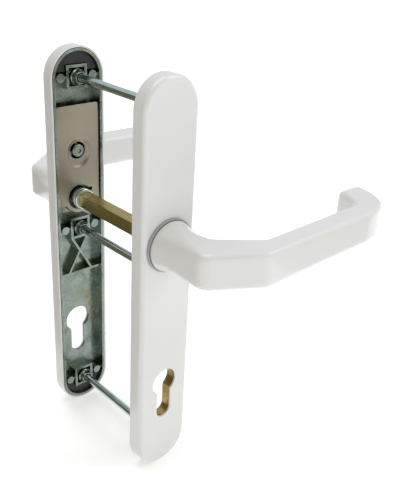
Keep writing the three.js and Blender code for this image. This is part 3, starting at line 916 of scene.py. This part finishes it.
def add_floor():
    finish = Finish("studio_floor", (0.97, 0.97, 0.97), 0.9)
    finish.shader.inputs["Specular IOR Level"].default_value = 0.1
    finish.shader.inputs["Emission Color"].default_value = (1, 1, 1, 1)
    spread = finish.nodes.new("ShaderNodeVectorMath")
    spread.operation = "LENGTH"
    finish.links.new(finish.place, spread.inputs[0])
    glow = finish.ranged(spread.outputs["Value"], 0.2, 1.3, 0.28, 0.55)
    finish.links.new(glow, finish.shader.inputs["Emission Strength"])
    mesh = bpy.data.meshes.new("studio_floor")
    half = 8.0
    height = cad_low[2] - 0.5 * MM
    mesh.from_pydata([(-half, -half, height), (half, -half, height), (half, half, height),
                      (-half, half, height)], [], [(0, 1, 2, 3)])
    mesh.materials.append(finish.material)
    floor = bpy.data.objects.new("studio_floor", mesh)
    bpy.context.scene.collection.objects.link(floor)
    floor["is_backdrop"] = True


def add_area_light(name, position, target, size, power, colour=(1, 1, 1)):
    light = bpy.data.lights.new(name, "AREA")
    light.shape = "RECTANGLE"
    light.size, light.size_y = size
    light.energy = power
    light.color = colour
    lamp = bpy.data.objects.new(name, light)
    lamp.location = position
    aim = Vector(target) - Vector(position)
    lamp.rotation_euler = aim.to_track_quat("-Z", "Y").to_euler()
    bpy.context.scene.collection.objects.link(lamp)


def add_world():
    """A plain studio, warm and dim at the left, cool and light at the right, pale at the horizon."""
    world = bpy.data.worlds.new("studio")
    world.use_nodes = True
    nodes, links = world.node_tree.nodes, world.node_tree.links
    sky = nodes["Background"]
    towards = nodes.new("ShaderNodeTexCoord").outputs["Generated"]
    lean = nodes.new("ShaderNodeVectorMath")
    lean.operation = "DOT_PRODUCT"
    links.new(towards, lean.inputs[0])
    lean.inputs[1].default_value = (0.8, 0.45, 0.38)
    spread = nodes.new("ShaderNodeMapRange")
    spread.inputs["From Min"].default_value = -0.8
    spread.inputs["From Max"].default_value = 0.6
    links.new(lean.outputs["Value"], spread.inputs["Value"])
    mix = nodes.new("ShaderNodeMix")
    mix.data_type = "RGBA"
    links.new(spread.outputs["Result"], mix.inputs[MIX_FACTOR])
    mix.inputs[MIX_FIRST].default_value = (0.33, 0.295, 0.185, 1)
    mix.inputs[MIX_SECOND].default_value = (0.61, 0.63, 0.66, 1)
    level = nodes.new("ShaderNodeSeparateXYZ")
    links.new(towards, level.inputs[0])
    haze = nodes.new("ShaderNodeMapRange")
    haze.interpolation_type = "SMOOTHSTEP"
    haze.inputs["From Min"].default_value = 0.16
    haze.inputs["From Max"].default_value = 0.0
    links.new(level.outputs["Z"], haze.inputs["Value"])
    horizon = nodes.new("ShaderNodeMix")
    horizon.data_type = "RGBA"
    links.new(haze.outputs["Result"], horizon.inputs[MIX_FACTOR])
    links.new(mix.outputs[MIX_RESULT], horizon.inputs[MIX_FIRST])
    horizon.inputs[MIX_SECOND].default_value = (1, 1, 1, 1)
    links.new(horizon.outputs[MIX_RESULT], sky.inputs["Color"])
    bpy.context.scene.world = world


def add_flag(name, corner, across, along, colour, shades):
    """A dark card out of the camera's sight, seen in reflections and, if it shades, by the paint."""
    finish = Finish(name, colour, 0.9)
    corner, across, along = Vector(corner), Vector(across), Vector(along)
    mesh = bpy.data.meshes.new(name)
    mesh.from_pydata([corner, corner + across, corner + across + along, corner + along], [],
                     [(0, 1, 2, 3)])
    mesh.materials.append(finish.material)
    card = bpy.data.objects.new(name, mesh)
    card.visible_camera = False
    card.visible_diffuse = shades
    card.visible_shadow = False
    card.visible_transmission = False
    bpy.context.scene.collection.objects.link(card)
    card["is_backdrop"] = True


def add_camera():
    azimuth, elevation, roll = radians(-44.2), radians(25.85), radians(3.44)
    target = Vector((51.46, -22.72, -27.99)) * MM
    distance = 448.61 * MM
    back = Vector((sin(azimuth) * cos(elevation), -cos(azimuth) * cos(elevation), sin(elevation)))
    right = (-back).cross(Vector((0, 0, 1))).normalized()
    up = right.cross(-back)
    side = right * cos(roll) + up * sin(roll)
    top = up * cos(roll) - right * sin(roll)
    lens = bpy.data.cameras.new("camera")
    lens.sensor_width = 36
    lens.sensor_fit = "AUTO"
    lens.lens = 50.87
    lens.clip_start = 0.01
    camera = bpy.data.objects.new("camera", lens)
    camera.matrix_world = Matrix.Translation(target + back * distance) @ Matrix(
        (side, top, back)).transposed().to_4x4()
    bpy.context.scene.collection.objects.link(camera)
    bpy.context.scene.camera = camera


add_camera()
add_floor()
add_world()
card_height = cad_low[2] + 4 * MM
add_flag("left_flag", (-1.2, 0.0, card_height), (1.15, 0, 0), (0, 1.2, 0), (0.19, 0.18, 0.14), False)
add_flag("right_flag", (0.27, -0.9, card_height), (0.63, 0, 0), (0, 0.65, 0), (0.12, 0.10, 0.08), False)
add_flag("rear_flag", (-0.3, 0.0, card_height), (0, 0.6, 0), (0, 0, 0.5), (0.13, 0.11, 0.055), True)
add_area_light("key_light", (1.2, -0.95, 1.3), (0.03, 0, 0), (0.8, 0.8), 6.5, (1, 0.99, 0.97))
add_area_light("top_light", (-0.2, 0.3, 1.6), (0.03, 0, 0), (1.4, 1.0), 11.5)
add_area_light("front_light", (0.1, -1.6, 0.3), (0.03, 0, 0), (0.9, 0.9), 2.0, (0.94, 0.97, 1))
add_area_light("rear_light", (-1.0, 1.05, 0.75), (0, 0, 0), (0.6, 0.8), 0.8, (0.93, 0.98, 1))
bpy.context.scene.view_settings.view_transform = "Standard"

for side in SIDES:
    add_cover(side)
    add_lever(side)
    add_bearing_ring(side)
    add_cassette_cover(side)
    add_post(side)
    add_hub(side)
    for level in LEVEL_HEIGHTS:
        add_collar(side, level)
    for part, (finish, edge) in KEPT.items():
        node = f"{side}_{part}"
        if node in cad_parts:
            dress_kept_node(node, finish, edge)
add_spindle()
for level in LEVEL_HEIGHTS:
    add_screw(level)
